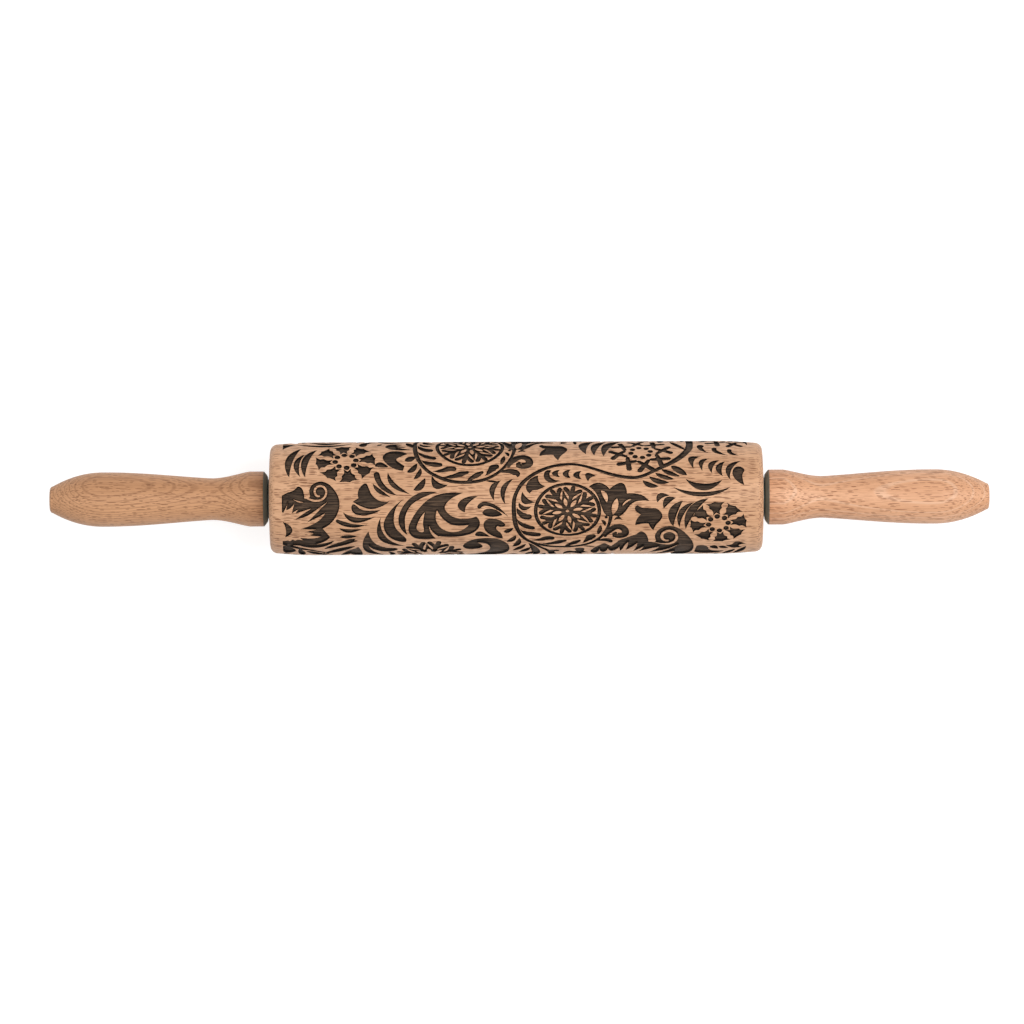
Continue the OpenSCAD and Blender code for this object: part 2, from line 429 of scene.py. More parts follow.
def fan():
    """The big fanned leaf left of the middle, with its crescents."""
    body = cut(
        leaf((-50.9, -25.4), (-61.9, -8.8), 7.2, 3.9, 0.5),
        blob(
            (-50.5, 0.2, 1), (-54.8, -4.2), (-56, -9.6), (-55.2, -14), (-52.4, -17.8), (-50.4, -20.6),
            (-50.8, -22.7, 1), (-54.2, -22.2), (-57.6, -20), (-60, -16.4), (-60.7, -12),
            (-58.8, -7.4), (-55, -3)),
        blob(
            (-36.2, 2.7, 1), (-40.2, 3), (-44.4, 2.4), (-49.6, -1), (-53, -6), (-53.9, -10.8),
            (-52.6, -15), (-49.8, -18.2, 1), (-50.8, -13.6), (-50.7, -8.4), (-48.4, -3.6),
            (-44.4, -0.6), (-40, 1.4)),
        blob(
            (-24.2, 2.4, 1), (-30, 2.5), (-35, 1.8), (-40.2, -0.6), (-44.6, -4.8), (-47.8, -9.8),
            (-49.4, -14.6), (-48.4, -18.2), (-46, -20.3), (-41.6, -20.8), (-36.8, -20.3, 1),
            (-35.4, -19, 1), (-30, -19.4), (-24.6, -18.9), (-19.8, -17), (-17.2, -14.2),
            (-16.7, -11.2), (-18.4, -8.5, 1), (-23.4, -9.7), (-28, -9), (-31.4, -6.8), (-32.7, -4.4),
            (-31.6, -2), (-29, 0.2)))
    body += keep(
        blob(
            (-41.8, -6.4, 1), (-44.6, -10.6), (-45.6, -14.6), (-44, -16.4), (-42.4, -16.2),
            (-42.7, -12)),
        blob(
            (-36.2, -5.5, 1), (-36.8, -9.6), (-35.2, -13.4), (-32, -15.9), (-28.6, -16.5),
            (-25, -15.5), (-21.8, -12.7, 1), (-25.4, -13.1), (-29.8, -12.5), (-33, -10.2),
            (-35.2, -7.4)),
        blob((-36.2, -20.8, 1), (-38.8, -17.6), (-40, -13, 1), (-38.2, -16.6), (-35, -19.6, 1)))
    return body


def spray():
    """A half flower over a fan of thin leaves."""
    return cut(
        blob(
            (-70.2, 6.4), (-72.2, 3.6), (-72.1, 0.2, 1), (-74.6, -1.4, 1), (-71.4, -3.4), (-66.4, -4.9),
            (-61.4, -3.6), (-57.9, -1.3, 1), (-62.6, -1), (-66, 1.8), (-67.6, 5.2), (-68.6, 6.9)),
        blob(
            (-74.6, -2.6), (-75.4, -4.4), (-74.2, -6.8), (-71.6, -7.8), (-66.6, -7.4), (-61.8, -5.2, 1),
            (-67.2, -5.6), (-71, -5), (-73.2, -3.2)),
        leaf((-64.4, -8.7), (-79.2, -6.2), 4.2, 1.5, 0.6),
        band([(-81.8, -10.5), (-78.6, -12), (-74.4, -13), (-68.4, -12.5)], [1.7, 2.3, 1.9, 0.2]),
        *leaves(
            (-70.4, -14.8, -81, -14.3, 2.2, 0.2, 0.6), (-72.8, -18.7, -80.9, -19.3, 1.1, -1, 0.55),
            (-73.6, -20.2, -82.8, -25.3, 1.5, -1.3), (-72.6, -21.6, -88.4, -28.4, 0.6, -2.3),
            (-73.8, -25.9, -89, -34.6, 1, -2.4), (-73.4, -27.6, -80.6, -38.6, 1.6, -2)),
        blob(
            (-72.6, -26.4, 1), (-71.2, -30), (-70.6, -35), (-71.4, -40, 1), (-74.8, -37.4),
            (-76.4, -33.6), (-75, -30)))


def big_leaf():
    """A broad leaf split in two."""
    return cut(
        blob(
            (-67.6, -16, 1), (-69.7, -20), (-70.5, -24.6), (-69.9, -29.2), (-67.9, -33.2),
            (-64, -36.4), (-60.4, -38, 1), (-63.2, -34), (-66.2, -29.6), (-67.8, -25.6, 1),
            (-65.2, -29), (-61.2, -31.3), (-57.6, -31.2), (-54.6, -29.4, 1), (-54.9, -27.8),
            (-60, -27), (-64.2, -24.2), (-66.6, -20.2)),
        band([(-58, -32.4), (-56.8, -35), (-57.6, -38.6)], [1.6, 2.6, 1.6]))


def comma():
    """A big comma: a round head that hooks inwards, and a broad tail."""
    return cut(blob(
        (-24.5, -25.6), (-22.6, -22.8), (-19.6, -21.1), (-16, -20.3), (-12.1, -20.2), (-8.5, -20.9),
        (-5.2, -22.9), (-3.4, -26), (-3.6, -30.6), (-6.6, -35.4), (-11.6, -38.6), (-18, -39.4),
        (-23.4, -37.4, 1), (-20, -35.9), (-16.4, -33.8), (-13.8, -31.6), (-12.3, -29), (-12.2, -26.4),
        (-13.4, -24.5), (-15.2, -23.7), (-17.8, -23.4, 1), (-15.9, -25), (-15.5, -26.6), (-16.6, -27.9),
        (-18.6, -28.6), (-21.2, -28.9), (-23.6, -28)))


def stem_leaves():
    """Five leaves under the wavy stem."""
    return cut(*leaves(
        (57.8, 7.9, 65.2, 5.1, -2.1, 0.2, 0.45), (60.8, 9.8, 70, 6.9, -2.2, 0.2, 0.45),
        (63.6, 11.5, 72.4, 8.4, -1.6, 0.5, 0.45), (66.4, 13.4, 74.9, 9.7, -1.4, 0.8, 0.45),
        (70.8, 15.1, 78.2, 10.3, -1.5, 1.6, 0.45)))


def crescent_row():
    """A row of crescents that ends in a fat bud."""
    return cut(
        *leaves(
            (81.2, 13.4, 84.9, 20.5, 5, 1.9, 0.58), (85.2, 12.3, 88.5, 19.3, 3.6, 1.3, 0.55),
            (89.6, 11.1, 93.2, 18.2, 3.7, 1.1), (94.5, 9.7, 95.7, 17.6, 3.9, 1),
            (98.2, 7.9, 103, 18, 4.6, 1.9, 0.45)),
        blob(
            (104.3, 5.6, 1), (100.8, 7.7), (98.9, 11), (99.9, 14.2), (102.4, 14.9), (104.4, 13.3),
            (103.6, 11), (103.5, 9)))


def small_commas():
    return cut(
        band([(84.6, 29), (84.6, 26.6), (88, 23.3)], [3.2, 2.2, 0.2]),
        band([(90.8, 26.4), (91.6, 24.2), (96.9, 21.5)], [2.4, 2.2, 0.2]),
        band([(97.8, 25.2), (98.3, 23.2), (102, 21.7)], [2.2, 1.9, 0.2]))


def long_crescents():
    return cut(*leaves(
        (77.4, 8.7, 94.3, 8.2, -5.4, -2.2), (71.7, 4.8, 98, 4.8, -4.5, -2.4)))


def side_leaves():
    """The loose leaves between the bigger motifs and along the left end."""
    return cut(
        blob(
            (-6.8, 12.7, 1), (-3.6, 13.8), (0, 13.4), (1.9, 11.5), (0.6, 9.6, 1), (-1.6, 11.6),
            (-4.4, 12.4)),
        *leaves(
            (-10, -1.2, -6.8, 8.1, 3.9, 1.2), (-4.9, -3, -1.1, 8.8, 4.2, 1.8)),
        blob(
            (-17.6, 0.8, 1), (-22, 0.6), (-25.6, -1.2), (-26.8, -3.6), (-25.6, -5.4), (-23.4, -6.6, 1),
            (-23, -4), (-20.8, -1.4)),
        band([(-16.9, -4), (-14.6, -2.6), (-9.8, -4), (-3.8, -8.6)], [1.9, 1.9, 1.6, 0.2]),
        leaf((-15.6, -6.8), (-6.3, -7.8), 2.4, -1.5, 0.4),
        blob(
            (-12, -9.6), (-8, -10.2), (-5, -12.6), (-6, -13.8), (-8.6, -13.4, 1), (-9.2, -14.8),
            (-6.9, -17.6), (-6.2, -20.6, 1), (-10.4, -19.2), (-13.6, -16.6), (-15, -13.4),
            (-14.4, -10.8)),
        blob(
            (-18.9, -18.4), (-18.4, -16.9), (-17, -16.2), (-15, -16.8), (-12.1, -19.2, 1),
            (-15, -19.2), (-18, -19)),
        *leaves(
            (-5.8, -16.6, -1.3, -14.4, 0.8, -1.4, 0.4), (-4.6, -22.8, -0.2, -18.6, 0.5, -2),
            (-1.9, -26.6, 1.4, -20.2, 0.3, -2.4), (-1.8, -30.4, 4.3, -24.5, 0.8, -1.6),
            (1, -32.6, 6.4, -27.2, 0.8, -1.8), (4, -38, 9.6, -31.6, 2.2, -0.8),
            (7.6, -40, 5.4, -23.6, -4.4, -0.6)),
        band([(7, -23.6), (10.4, -26.6), (14.4, -30.6), (16.4, -35)], [0.8, 1.4, 1.8, 3.6]),
        *leaves(
            (-38.5, 10.8, -31.1, 6.2, -4.7, -1.4), (-47, 3.7, -41.6, 9.4, -2.6, 0.4, 0.45),
            (-50, 12.3, -45.4, 17.1, -2.2, 0.4, 0.45), (-46.9, 8.8, -43.7, 14.5, -2, 0.2),
            (-51, 18.6, -45.9, 21, 1.6, -1.6, 0.45)),
        blob(
            (-56.4, 25.4), (-52.4, 24.9), (-49.7, 23.1, 1), (-52.8, 21.3), (-54.8, 19.5), (-53.2, 17.4),
            (-51, 15.7, 1), (-51.8, 13.1, 1), (-55.4, 14), (-58.6, 16.2), (-61.1, 20.2), (-59.8, 23.8)),
        blob(
            (-64.6, 15.4, 1), (-64.2, 17), (-62.2, 17.9), (-60, 16.8), (-58.4, 15, 1), (-61.6, 14.8)),
        leaf((-57.3, 0.4), (-65.5, 6.8), 1.9, 0, 0.6),
        band([(-63.8, 11.2), (-62, 6.6), (-58.8, 3.6), (-54.3, 1.3)], [2.8, 2.6, 2, 0.2]),
        *leaves(
            (-48.4, 1.7, -58.6, 12.4, 3.6, 1.3, 0.6), (-106, -19.9, -106.9, -11.1, -4, -1),
            (-83.3, -21.4, -99.8, -25, 3.8, 1)),
        band(
            [(-106.4, -24.6), (-100, -27.6), (-94, -29.6), (-88.4, -32.6), (-84.6, -38)],
            [2.2, 2, 1.5, 1.3, 0.6]),
        *leaves(
            (-106.8, -26, -106, -35, 5.2, -1), (-99.6, -28.3, -98.4, -38, 2.2, -1.2),
            (-96.6, -30.4, -86, -38, 1.8, -1.6)))


def right_crescents():
    """The row of growing crescents at the right."""
    return cut(
        blob((64.6, -2.3, 1), (64.1, 0.4), (65.6, 1.9), (67.8, 1.8), (70, 0.7, 1), (66.8, -0.2)),
        *leaves(
            (67.4, -5.2, 72.8, -0.3, 3.2, 0.2), (71.9, -13.9, 76.2, -1.6, 4.6, 0.6),
            (74.8, -14.4, 81.3, -2.4, 4.2, 1.5), (77.6, -15.4, 88, -0.6, 5, 1.4)))


def upper_right():
    """What lies along the upper edge, at the right of the bell flower."""
    return cut(*leaves(
        (32.1, 22.6, 36.4, 36.6, 5.6, 1.2), (35.9, 21.7, 41.8, 35.6, 4.4, 0.7),
        (40.2, 21, 49, 36.4, 5, 0.9), (26.8, 38.4, 27.2, 31.2, 0.9, -0.9)))


def top_left():
    return cut(
        band([(-70.4, 31.4), (-69.2, 34.2), (-65, 37)], [3.6, 3, 0.6]),
        leaf((-64, 30.6), (-61.4, 33), 0.8, -0.8),
        blob(
            (-60.2, 29.4, 1), (-57.4, 26.8), (-53, 26.1), (-48.4, 26.6, 1), (-52, 27.8),
            (-55, 29, 1), (-51, 28.8), (-50.6, 29.4, 1), (-53, 30), (-55.2, 31, 1),
            (-52.2, 31.2, 1), (-54.8, 32.8), (-58, 32.4)),
        leaf((-47, 28.3), (-50.4, 35.2), -1.3, 1.7),
        blob((-107.8, 34.8, 1), (-101, 33.4, 1), (-104.4, 31), (-107.8, 27.4, 1)))


def lower_middle():
    return cut(
        band([(14.4, -30.9), (18.8, -30.9)], 1.9),
        band([(16.3, -31.2), (15.6, -37)], [2.8, 1.4]),
        blob(
            (21.6, -37.4, 1), (21.8, -33.4), (24.2, -31.2), (27.2, -31.4), (26.8, -28.8), (29, -27.8),
            (31.2, -28.8), (31, -31.4), (33.6, -33.8, 1), (30.6, -34.4), (30.2, -38.4, 1),
            (27.6, -35.4), (24.4, -34.4)))


def lower_right():
    return cut(
        blob(
            (82.2, -29), (82.8, -26.6), (85, -25.9), (87.2, -26.8), (88.2, -29.6, 1), (90.8, -31.6),
            (95.4, -31.4, 1), (92.4, -34.4), (86, -36), (81.6, -33, 1)),
        *leaves(
            (92.7, -29.6, 88.6, -27, -2.2, 0.9, 0.6), (97.4, -28.8, 92.6, -27.3, -1.4, 1, 0.6)),
        blob(
            (96, -25.8, 1), (98.6, -25.6), (100.6, -23.4), (103, -24), (105.6, -26.2, 1),
            (102, -26.6), (104.2, -27.9, 1), (99.4, -28.6)),
        *leaves(
            (99.6, -37, 105.4, -28, 1.4, -1.6), (94.6, -37.6, 100.4, -30.2, 1.6, -1.2)))


def right_feather():
    """The feathered leaf again, larger and at the right, with more blades on its left."""
    head = moved(feather(True), SPIRAL, (70, -19.5), scale=1.29)
    clear = keep([
        (44, -23), (60, -24.5), (70, -27.5), (66.8, -32.2), (62, -37.6), (56, -44),
        (44, -44)])
    blades = cut(blob(
        (34, -31.4), (35.2, -28.6), (36.6, -26.8), (38.5, -25.3), (40.3, -24.1), (41.9, -25.2),
        (43.4, -26.6, 1), (46.1, -23.3), (48.5, -21.4), (51.6, -19.6), (54.9, -18.2), (57.3, -16.8),
        (59, -18.1), (60.1, -20.2), (60.5, -23, 1), (63.4, -23.7), (66.5, -24.9), (70, -25.4, 1),
        (73.6, -25, 1), (72.3, -27), (68.8, -29.9), (65.2, -31.9), (60.4, -33.8, 1), (63.4, -30.4),
        (65.6, -27.3, 1), (62.1, -28.8), (59, -30.3), (55.6, -32.6, 1), (57.4, -29.6), (58.3, -26.9, 1),
        (56.4, -29.2), (53.4, -32, 1), (54.9, -27.6), (55.5, -23.8, 1), (53.4, -26.8), (50, -30.6, 1),
        (50.9, -26.6), (51.4, -23.2, 1), (49.7, -25.8), (48.8, -29), (47.6, -31.6, 1), (47.4, -29.4),
        (47.1, -27.2, 1), (45.6, -30.2), (43.8, -31.6, 1), (42.6, -30.6), (41.9, -28.5, 1), (41.2, -31.6),
        (39.8, -33.4), (38.6, -31.8), (38.1, -28.9, 1), (37.4, -32.6), (36, -34.8), (34.5, -33.6)))
    return head + clear + blades


def front():
    """The groups on the front, each a list of units that stand clear of each other."""
    low_flake = squeezed(snowflake(), 1.12, 0.97) + keep(oval(0, 0, 3.9, 3.4))
    return [
        placed(medallion(), MEDALLION, (-21.2, 28.7), scale=1.03),
        medallion(),
        [moved(floret_rosette(), to=(-78.1, 18.6), scale=1.06)],
        [moved(floret_rosette(), to=(92.4, -12.6))],
        [moved(cross_rosette(), to=(57.1, 23.8))],
        [moved(cross_rosette(), to=(97.8, 40.0))],
        [right_feather()],
        [feather()],
        loose(crescents()),
        [fan()],
        loose(spray() + big_leaf()),
        [comma()],
        loose(stem_leaves() + crescent_row() + small_commas() + long_crescents()),
        placed(loose(long_crescents()), (85.8, 4), (-87.4, 33.0)),
        loose(side_leaves() + right_crescents() + upper_right() + lower_right()),
        loose(top_left() + lower_middle()),
        [moved(low_flake, to=(-39.3, -35.6), scale=1.12, angle=-3)],
    ]


# The back of the barrel, as a stretch of y; the spacing of the places where a copy of a
# motif is tried; and the leaves that fill it: (length, bow, inner bow as shares of it).
BACK = (40.0, GIRTH - 40.0)
PITCH = 4
BACK_LEAVES = [(13.0, 0.34, 0.14), (10.0, 0.36, 0.06), (7.5, 0.3, -0.12), (5.5, 0.34, 0.0),
               (4.2, 0.36, -0.1)]
LEAF_TURNS = 16


class Sheet:
    """The unrolled barrel on a fine grid, to see what is still free."""

    CELL = 0.5

    def __init__(self):
        self.nx = round((FIELD[1] - FIELD[0]) / self.CELL)
        self.ny = round(GIRTH / self.CELL)
        self.taken = np.zeros((self.nx, self.ny), bool)

    def stamp(self, unit):
        """The grid cells that the unit's outlines cover or touch, counted from its origin."""
        out = []
        for _, outline in unit:
            o = np.asarray(outline) / self.CELL
            low, high = np.floor(o.min(0)).astype(int), np.ceil(o.max(0)).astype(int)
            x, y = np.meshgrid(np.arange(low[0], high[0] + 1), np.arange(low[1], high[1] + 1), indexing="ij")
            points = np.stack([x.ravel(), y.ravel()], 1) + 0.5
            out += [points[inside(points, o)] - 0.5, np.floor(o)]
        return np.unique(np.concatenate(out).astype(int), axis=0)

    def cells(self, stamp, place):
        """The stamp's cells at a place on the barrel, without those outside the field."""
        c = stamp + np.round((np.asarray(place) - (FIELD[0], 0.0)) / self.CELL).astype(int)
        c = c[(c[:, 0] >= 0) & (c[:, 0] < self.nx)]
        c[:, 1] %= self.ny
        return c

    def take(self, stamp, place=(0.0, 0.0)):
        c = self.cells(stamp, place)
        for dx in (-1, 0, 1):
            for dy in (-1, 0, 1):
                x = np.clip(c[:, 0] + dx, 0, self.nx - 1)
                self.taken[x, (c[:, 1] + dy) % self.ny] = True

    def free(self, stamp, place=(0.0, 0.0)):
        c = self.cells(stamp, place)
        return len(c) > 0.6 * len(stamp) and not self.taken[c[:, 0], c[:, 1]].any()


def fill_back(sheet):
    """Fills the back: first with copies of the front's motifs, then with smaller and
    smaller leaves."""
    rings, _, tulip, bell = medallion()[:4]
    motifs = [
        (moved(fan(), (-40, -8)), 2),
        (cross_rosette(), 2),
        (moved(rings + tulip + bell, (40, -6)), 2),
        (floret_rosette(), 3),
        (moved(feather(True), (-90, -6), scale=0.9), 2),
        (moved(comma(), (-13, -34), scale=0.8), 3),
        (moved(fan(), (-40, -8), scale=0.62), 3),
        (moved(bell, (60, -9)), 6),
        (moved(big_leaf()[:1], (-62, -27), scale=0.8), 5),
        (moved(long_crescents(), (85.8, 4), scale=0.9), 4),
        (moved(crescents(), (-98, 18), scale=0.8), 4),
    ]
    out = []
    for k, (motif, copies) in enumerate(motifs):
        out += scattered(sheet, motif, k, copies)
    for size, bow, inner in BACK_LEAVES:
        out += swirling(sheet, size, bow, inner)
    return out


def scattered(sheet, motif, k, copies):
    """Copies of a motif, turned four ways, in free places on the back."""
    out = []
    columns = round((FIELD[1] - FIELD[0]) / PITCH)
    rows = round((BACK[1] - BACK[0]) / PITCH)
    for angle in (180, 0, 90, 270):
        unit = moved(motif, angle=angle + 12 * math.sin(k))
        stamp = sheet.stamp(unit)
        made = 0
        for i in range(columns):
            for j in range(rows):
                # Places are tried in a scattered order, so that copies don't line up.
                x = FIELD[0] + PITCH * ((i * 17 + 5 * k) % columns) + PITCH / 2
                y = BACK[0] + PITCH * ((j * 7 + i + 3 * k) % rows) + PITCH / 2
                if made < copies / 2 and sheet.free(stamp, (x, y)):
                    out += moved(unit, to=(x, y))
                    sheet.take(stamp, (x, y))
                    made += 1
    return out


def swirling(sheet, size, bow, inner):
    """Leaves of one size that follow a slow swirl, wherever the back is still free."""
    leaves_round = []
    for k in range(LEAF_TURNS):
        a = 2 * math.pi * k / LEAF_TURNS
        dx, dy = size / 2 * math.cos(a), size / 2 * math.sin(a)
        unit = cut(leaf((-dx, -dy), (dx, dy), size * bow, size * inner, 0.58))
        leaves_round.append((unit, sheet.stamp(unit)))
    out = []
    step = max(1.5, size * 0.3)
    height = BACK[1] - BACK[0] + 6
    for i in range(round((FIELD[1] - FIELD[0]) / step)):
        for j in range(round(height / step)):
            x = FIELD[0] + (i + 0.5) * step
            y = BACK[0] - 3 + ((j + 0.5) * step + 2.7 * i) % height
            swirl = 2.2 * math.sin(x * 0.055 + 1.3) + 1.8 * math.cos(y * 0.07 - 0.02 * x)
            for turn in (0, 1, -1, 2, -2, 8):
                k = round(swirl * LEAF_TURNS / (2 * math.pi)) + turn
                unit, stamp = leaves_round[k % LEAF_TURNS]
                if sheet.free(stamp, (x, y)):
                    out += moved(unit, to=(x, y))
                    sheet.take(stamp, (x, y))
                    break
    return out


def ornament():
    """The whole ornament. The back repeats the front turned end for end, without what
    would run into the front, and more motifs and leaves fill what is left of it."""
    sheet = Sheet()
    out = []
    groups = front()
    for group in groups:
        for unit in group:
            out += unit
            sheet.take(sheet.stamp(unit))
    for group in groups:
        turned = [moved(unit, to=(0, GIRTH / 2), angle=180) for unit in group]
        fits = [(unit, sheet.stamp(unit)) for unit in turned]
        fits = [(unit, stamp) for unit, stamp in fits if sheet.free(stamp)]
        for unit, stamp in fits:
            out += unit
            sheet.take(stamp)
    return squeezed(out + fill_back(sheet), SPREAD, 1.0)


# ---------------------------------------------------------------------------
# Turned shapes.
# ---------------------------------------------------------------------------
def barrel_radius(x):
    """The barrel's radius, in mm, at x mm from its middle, up to its rounded edges."""
    t = np.clip((FACE_X - EDGE_R - np.abs(x)) / (TAPER_L - EDGE_R), 0.0, 1.0)
    return END_R + (BARREL_R - END_R) * np.sin(t * math.pi / 2)


def barrel_slope(x):
    """How fast that radius changes with x."""
    near = 0.05
    return (barrel_radius(x + near) - barrel_radius(x - near)) / (2 * near)


def new_object(name, mesh, body, nodes):
    obj = bpy.data.objects.new(name, mesh)
    scene.collection.objects.link(obj)
    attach(obj, body)
    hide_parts(*nodes)
    return obj


def lathe(name, profile, side):
    """A mesh turned round the X axis. The profile is a closed list of (x, radius) in mm,
    and side is -1 for a piece on the -X side."""
    count = len(profile)
    verts, faces = [], []
    for k in range(ROUND_STEPS):
        a = 2 * math.pi * k / ROUND_STEPS
        for x, r in profile:
            verts.append((side * x * MM, r * math.sin(a) * MM, r * math.cos(a) * MM))
    for k in range(ROUND_STEPS):
        here, there = k * count, (k + 1) % ROUND_STEPS * count
        for i in range(count):
            j = (i + 1) % count
            face = [here + i, here + j, there + j, there + i]
            faces.append(face if side > 0 else face[::-1])
    mesh = bpy.data.meshes.new(name)
    mesh.from_pydata(verts, [], faces)
    mesh.validate()
    bm = bmesh.new()
    bm.from_mesh(mesh)
    bmesh.ops.remove_doubles(bm, verts=bm.verts, dist=1e-7)
    bmesh.ops.recalc_face_normals(bm, faces=bm.faces)
    bm.to_mesh(mesh)
    bm.free()
    mesh.shade_smooth()
    mesh.set_sharp_from_angle(angle=SHARP_ANGLE)
    return mesh


def arc(cx, cr, radius, start, end, steps):
    """Points (x, radius) of an arc round (cx, cr). 0 points outwards and 90 along +X."""
    out = []
    for k in range(steps + 1):
        a = math.radians(start + (end - start) * k / steps)
        out.append((cx + radius * math.sin(a), cr + radius * math.cos(a)))
    return out


def curve(x0, x1, r0, r1, shape, first=0):
    """Profile points from (x0, r0) to (x1, r1). shape(t) says how far r has come at t."""
    steps = 24
    out = []
    for i in range(first, steps + 1):
        t = i / steps
        out.append((x0 + t * (x1 - x0), r0 + (r1 - r0) * shape(t)))
    return out


def quick_start(t):
    return math.sin(math.pi / 2 * t ** 1.2)


def slow_start(t):
    return t * t


def handle_profile(length):
    base, neck, swell, taper = (share * length for share in (BASE_AT, NECK_AT, SWELL_AT, TAPER_AT))
    edge = length - TIP_EDGE_L
    round_r = 0.35
    tip_steps = 8
    socket = SPIGOT_L + 0.1
    out = arc(round_r, HANDLE_BASE_R - round_r, round_r, -90, 0, 4)
    out += curve(base, neck, HANDLE_BASE_R, NECK_R, quick_start)
    out += curve(neck, swell, NECK_R, SWELL_R, quick_start, first=1)
    out += curve(taper, edge, SWELL_R, TIP_R, slow_start)
    for i in range(1, tip_steps + 1):
        a = math.pi / 2 * i / tip_steps
        out.append((edge + TIP_EDGE_L * math.sin(a), TIP_FLAT_R + (TIP_R - TIP_FLAT_R) * math.cos(a)))
    out += [(length, 0.0), (GRIP_L, 0.0), (GRIP_L, AXLE_R)]
    out += [(socket, AXLE_R), (socket, SPIGOT_R), (0.0, SPIGOT_R)]
    return [(HANDLE_X + x, r) for x, r in out]


def collar_profile():
    """A tapered collar with a small rounded lip at both ends."""
    lip = 0.18
    outer_x = COLLAR_X + COLLAR_T
    face_r = COLLAR_FACE_R + 0.15
    out = [(COLLAR_X, AXLE_R + AXLE_GAP), (COLLAR_X, COLLAR_FACE_R - lip)]
    out += [(COLLAR_X + 0.06, COLLAR_FACE_R - 0.05), (COLLAR_X + lip, face_r)]
    for k in range(1, 7):
        t = k / 7
        rise = HANDLE_BASE_R - COLLAR_FACE_R - 0.2
        out.append((COLLAR_X + lip + t * (COLLAR_T - 2 * lip), face_r + rise * t ** 0.9))
    out += [(outer_x - lip, HANDLE_BASE_R - 0.03), (outer_x - 0.05, HANDLE_BASE_R)]
    out += [(outer_x, HANDLE_BASE_R - 0.05), (outer_x, SPIGOT_R), (outer_x + SPIGOT_L, SPIGOT_R)]
    return out + [(outer_x + SPIGOT_L, AXLE_R + AXLE_GAP)]


def bush_profile():
    edge = 0.2
    face = FACE_X + FLANGE_T
    out = [(FACE_X - BORE_L, AXLE_R + AXLE_GAP), (FACE_X - BORE_L, BORE_R), (FACE_X, BORE_R)]
    out += [(FACE_X, FLANGE_R)] + arc(face - edge, FLANGE_R - edge, edge, 0, 90, 4)
    return out + [(face, AXLE_R + AXLE_GAP)]


def washer_profile():
    edge = 0.12
    end = WASHER_X + WASHER_T
    out = [(WASHER_X, AXLE_R + 2 * AXLE_GAP)]
    out += arc(WASHER_X + edge, WASHER_R - edge, edge, -90, 0, 3)
    out += arc(end - edge, WASHER_R - edge, edge, 0, 90, 3)
    return out + [(end, AXLE_R + 2 * AXLE_GAP)]


# ---------------------------------------------------------------------------
# The engraved barrel: the ornament is cut into the unrolled surface, which is
# then rolled up and closed with turned ends.
# ---------------------------------------------------------------------------
def inside(points, outline):
    """Which of the points lie in the outline, by the even-odd rule."""
    o = np.asarray(outline)
    low, high = o.min(0), o.max(0)
    near = np.nonzero(np.all((points > low) & (points < high), axis=1))[0]
    p = points[near]
    hit = np.zeros(len(near), bool)
    for (x0, y0), (x1, y1) in zip(o, np.roll(o, -1, axis=0)):
        if y0 != y1:
            crossed = (y0 > p[:, 1]) != (y1 > p[:, 1])
            hit ^= crossed & (p[:, 0] < (x1 - x0) * (p[:, 1] - y0) / (y1 - y0) + x0)
    return near[hit]


def flat_sheet():
    """The ornament as triangles on the unrolled barrel: points, triangles, and
    whether each triangle is engraved."""
    half = GIRTH / 2
    limit = FACE_X - EDGE_R
    shapes = []
    for is_cut, outline in ornament():
        o = np.asarray(outline)
        o[:, 0] = np.clip(o[:, 0], FIELD[0] - OVERRUN, FIELD[1] + OVERRUN)
        for turn in (-1, 0, 1):
            copy = o + (0, turn * GIRTH)
            if copy[:, 1].max() > -half and copy[:, 1].min() < half:
                shapes.append((is_cut, copy))

    points, edges = [], []

    def add_loop(loop, closed):
        start = len(points)
        points.extend(Vector(p) for p in loop)
        n = len(loop)
        edges.extend((start + i, start + (i + 1) % n) for i in range(n if closed else n - 1))

    ys = [-half + GIRTH * k / ROUND_STEPS for k in range(ROUND_STEPS + 1)]
    xs = list(np.linspace(-limit, limit, round(2 * limit / GRID) + 1))
    for x in (-limit, FIELD[0], FIELD[1], limit):
        add_loop([(x, y) for y in ys], False)
    for y in (-half, half):
        add_loop([(x, y) for x in xs], False)
    for _, o in shapes:
        add_loop([tuple(p) for p in o], True)
    for i, x in enumerate(xs[1:-1]):
        shift = GIRTH / ROUND_STEPS if i % 2 else 0.0
        points.extend(Vector((x, ys[k] + shift)) for k in range(1, ROUND_STEPS, 2))

    same_place = 1e-4
    verts, _, tris, _, _, _ = delaunay_2d_cdt(points, edges, [], 0, same_place, False)
    co = np.array([tuple(v) for v in verts])
    tri = np.array([t for t in tris if len(t) == 3])
    mid = co[tri].mean(1)
    tri = tri[(np.abs(mid[:, 0]) < limit) & (np.abs(mid[:, 1]) < half)]
    p = co[tri]
    area = np.cross(p[:, 1] - p[:, 0], p[:, 2] - p[:, 0])
    tri[area < 0] = tri[area < 0][:, ::-1]
    tri = tri[np.abs(area) > 1e-6]
    mid = co[tri].mean(1)
    engraved = np.zeros(len(tri), bool)
    for is_cut, o in shapes:
        engraved[inside(mid, o)] = is_cut
    engraved &= (mid[:, 0] > FIELD[0]) & (mid[:, 0] < FIELD[1])
    return co, tri, engraved


